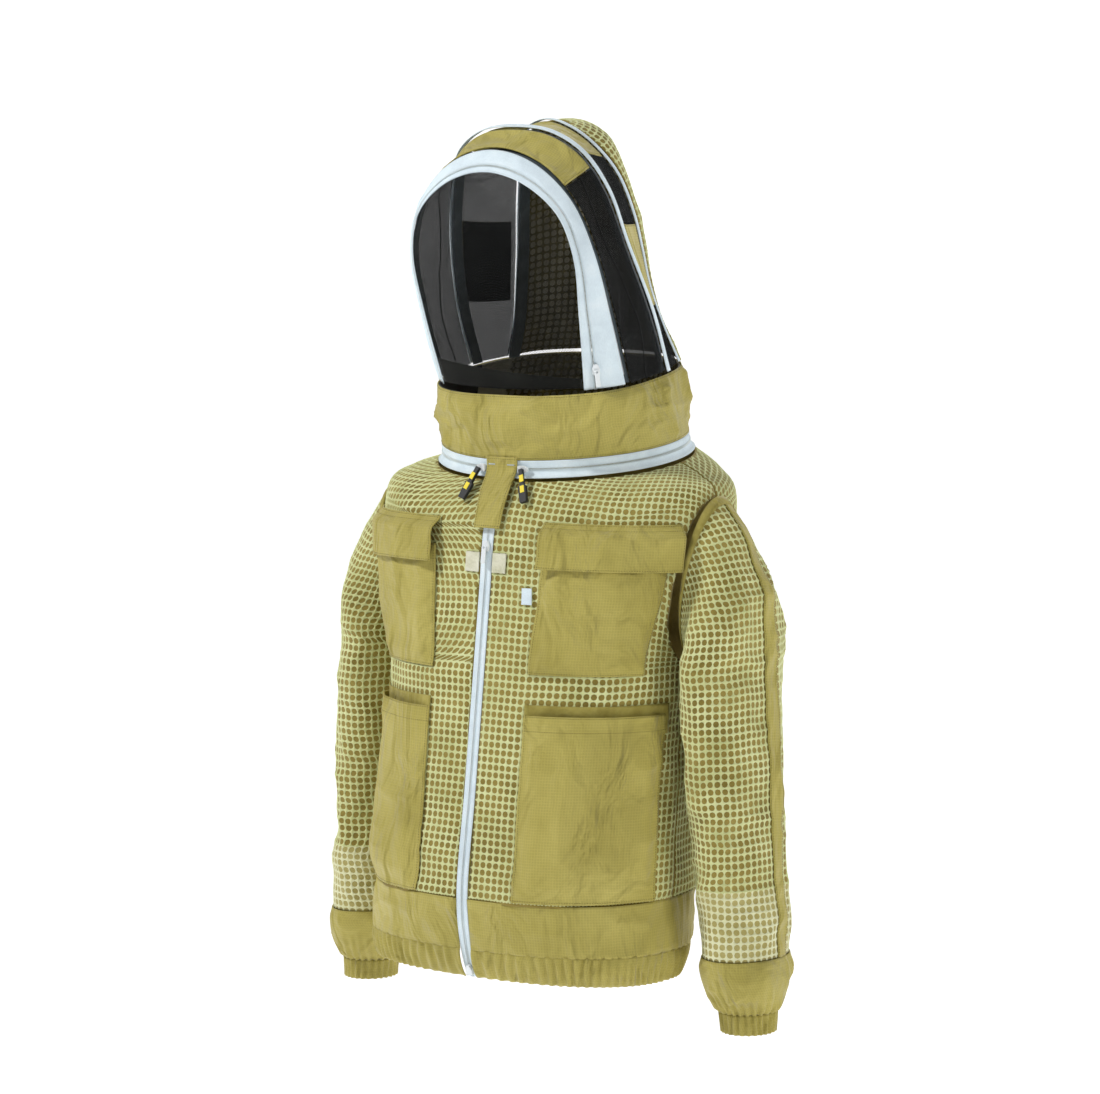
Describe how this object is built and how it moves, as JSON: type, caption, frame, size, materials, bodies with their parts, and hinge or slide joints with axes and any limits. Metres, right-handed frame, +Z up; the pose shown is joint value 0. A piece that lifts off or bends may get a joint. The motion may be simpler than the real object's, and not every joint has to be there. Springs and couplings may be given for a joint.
{
  "type": "beekeeping suit",
  "caption": "Ventilated beekeeper's jacket with a zip-off fencing hood, zip-open veil, flap pockets and elastic cuffs.",
  "frame": {"origin": "shoulder rest on the centre line, level with the neck zip", "axes": "+Z up, -Y the way the front faces, +X to the wearer's left"},
  "size_m": [0.6706, 0.3651, 1.111],
  "materials": {
    "mesh_fabric": "woven",
    "ripstop": "woven",
    "black_net": "woven",
    "black_lining": "woven",
    "white_tape": "woven",
    "grey_tape": "woven",
    "elastic": "woven",
    "hook_and_loop": "matte",
    "grip_rubber": "matte",
    "slider_enamel": "gloss",
    "spring_wire": "satin"
  },
  "bodies": {
    "jacket": {"back_panel": "mesh_fabric", "front_panel_left": "mesh_fabric", "front_panel_right": "mesh_fabric", "waist_band": "ripstop", "hem_casing": "ripstop", "hem_elastic": "elastic", "neck_zip_tape_lower": "white_tape", "main_zip_tape_left": "white_tape", "main_zip_tape_right": "white_tape", "chest_pocket_left": "ripstop", "chest_pocket_right": "ripstop", "lower_pocket_left": "ripstop", "lower_pocket_right": "ripstop", "velcro_pad_left": "hook_and_loop", "velcro_pad_right": "hook_and_loop", "size_label": "white_tape", "sleeve_head_left": "mesh_fabric", "sleeve_head_right": "mesh_fabric"},
    "sleeve_left": {"sleeve_tube_left": "mesh_fabric", "sleeve_cuff_left": "ripstop", "wrist_elastic_left": "ripstop"},
    "sleeve_right": {"sleeve_tube_right": "mesh_fabric", "sleeve_cuff_right": "ripstop", "wrist_elastic_right": "ripstop"},
    "hood": {"collar": "ripstop", "collar_lining": "black_lining", "neck_zip_tape_upper": "white_tape", "veil_zip_tape_outer": "white_tape", "crown_panel_front": "ripstop", "crown_panel_rear": "ripstop", "side_net_left": "black_net", "side_net_right": "black_net", "rear_net_left": "black_net", "rear_net_right": "black_net", "side_patch_left": "ripstop", "side_patch_right": "ripstop", "hood_back": "mesh_fabric", "hoop_binding_middle": "white_tape", "hoop_binding_rear": "white_tape", "hoop_casing_front": "grey_tape", "hoop_casing_middle": "grey_tape", "hoop_casing_rear": "grey_tape", "hoop_stay_front": "spring_wire", "hoop_stay_middle": "spring_wire", "hoop_stay_rear": "spring_wire"},
    "veil": {"veil_net": "black_net", "veil_zip_tape_inner": "white_tape"},
    "throat_flap": {"throat_flap": "ripstop"},
    "chest_flap_left": {"chest_flap_left": "ripstop"},
    "chest_flap_right": {"chest_flap_right": "ripstop"},
    "main_top_slider": {"main_zip_top_slider": "slider_enamel", "main_zip_top_tab": "slider_enamel"},
    "main_bottom_slider": {"main_zip_bottom_slider": "slider_enamel"},
    "neck_slider_left": {"neck_slider_left": "slider_enamel"},
    "neck_slider_right": {"neck_slider_right": "slider_enamel"},
    "neck_pull_left": {"neck_pull_left": "grip_rubber"},
    "neck_pull_right": {"neck_pull_right": "grip_rubber"},
    "veil_slider": {"veil_slider": "slider_enamel"},
    "veil_tab": {"veil_slider_tab": "slider_enamel"}
  },
  "joints": [
    {"name": "hood_tilt", "type": "hinge", "parent": "jacket", "child": "hood", "pos_m": [0, 0.1625, 0.0255], "axis": [-1, 0, 0], "range_deg": [0, 105]},
    {"name": "veil_open", "type": "hinge", "parent": "hood", "child": "veil", "pos_m": [0, -0.115, 0.074], "axis": [1, 0, 0], "range_deg": [0, 110]},
    {"name": "throat_flap_lift", "type": "hinge", "parent": "hood", "child": "throat_flap", "pos_m": [0, -0.1138, -0.004], "axis": [-1, 0, 0], "range_deg": [0, 75]},
    {"name": "chest_flap_left_lift", "type": "hinge", "parent": "jacket", "child": "chest_flap_left", "pos_m": [0.17304, -0.10682, -0.07768], "axis": [-0.87, -0.4931, 0.0038], "range_deg": [0, 120]},
    {"name": "chest_flap_right_lift", "type": "hinge", "parent": "jacket", "child": "chest_flap_right", "pos_m": [-0.17304, -0.10682, -0.07768], "axis": [-0.87, 0.4931, -0.0038], "range_deg": [0, 120]},
    {"name": "sleeve_left_raise", "type": "hinge", "parent": "jacket", "child": "sleeve_left", "pos_m": [0.258, 0.008, -0.262], "axis": [0, -1, 0], "range_deg": [0, 35], "deforming": ["sleeve_head_left"]},
    {"name": "sleeve_right_raise", "type": "hinge", "parent": "jacket", "child": "sleeve_right", "pos_m": [-0.258, 0.008, -0.262], "axis": [0, 1, 0], "range_deg": [0, 35], "deforming": ["sleeve_head_right"]},
    {"name": "main_zip_open", "type": "slide", "parent": "jacket", "child": "main_top_slider", "axis": [0, -0.1276, -0.9918], "range_m": [0, 0.36]},
    {"name": "main_zip_lift", "type": "slide", "parent": "jacket", "child": "main_bottom_slider", "axis": [0, -0.3702, 0.929], "range_m": [0, 0.03]},
    {"name": "neck_zip_open_left", "type": "hinge", "parent": "jacket", "child": "neck_slider_left", "pos_m": [0, 0.07224, 0.01131], "axis": [0, -0.153, 0.9882], "range_deg": [0, 33]},
    {"name": "neck_zip_open_right", "type": "hinge", "parent": "jacket", "child": "neck_slider_right", "pos_m": [0, 0.07224, 0.01131], "axis": [0, 0.153, -0.9882], "range_deg": [0, 33]},
    {"name": "neck_pull_left_lift", "type": "hinge", "parent": "neck_slider_left", "child": "neck_pull_left", "pos_m": [0.03185, -0.11387, -0.0175], "axis": [-0.9376, -0.1094, -0.33], "range_deg": [0, 60]},
    {"name": "neck_pull_right_lift", "type": "hinge", "parent": "neck_slider_right", "child": "neck_pull_right", "pos_m": [-0.03185, -0.11387, -0.0175], "axis": [-0.9376, 0.1094, 0.33], "range_deg": [0, 60]},
    {"name": "veil_zip_open", "type": "slide", "parent": "hood", "child": "veil_slider", "axis": [0.0889, -0.3174, 0.9441], "range_m": [0, 0.05]},
    {"name": "veil_tab_lift", "type": "hinge", "parent": "veil_slider", "child": "veil_tab", "pos_m": [0.12437, -0.08844, 0.10692], "axis": [-0.7017, -0.6926, -0.1668], "range_deg": [0, 100]}
  ],
  "couplings": [
    {"joint": "neck_pull_left_lift", "follows": "neck_zip_open_left", "ratio": 1.6},
    {"joint": "neck_pull_right_lift", "follows": "neck_zip_open_right", "ratio": 1.6}
  ]
}
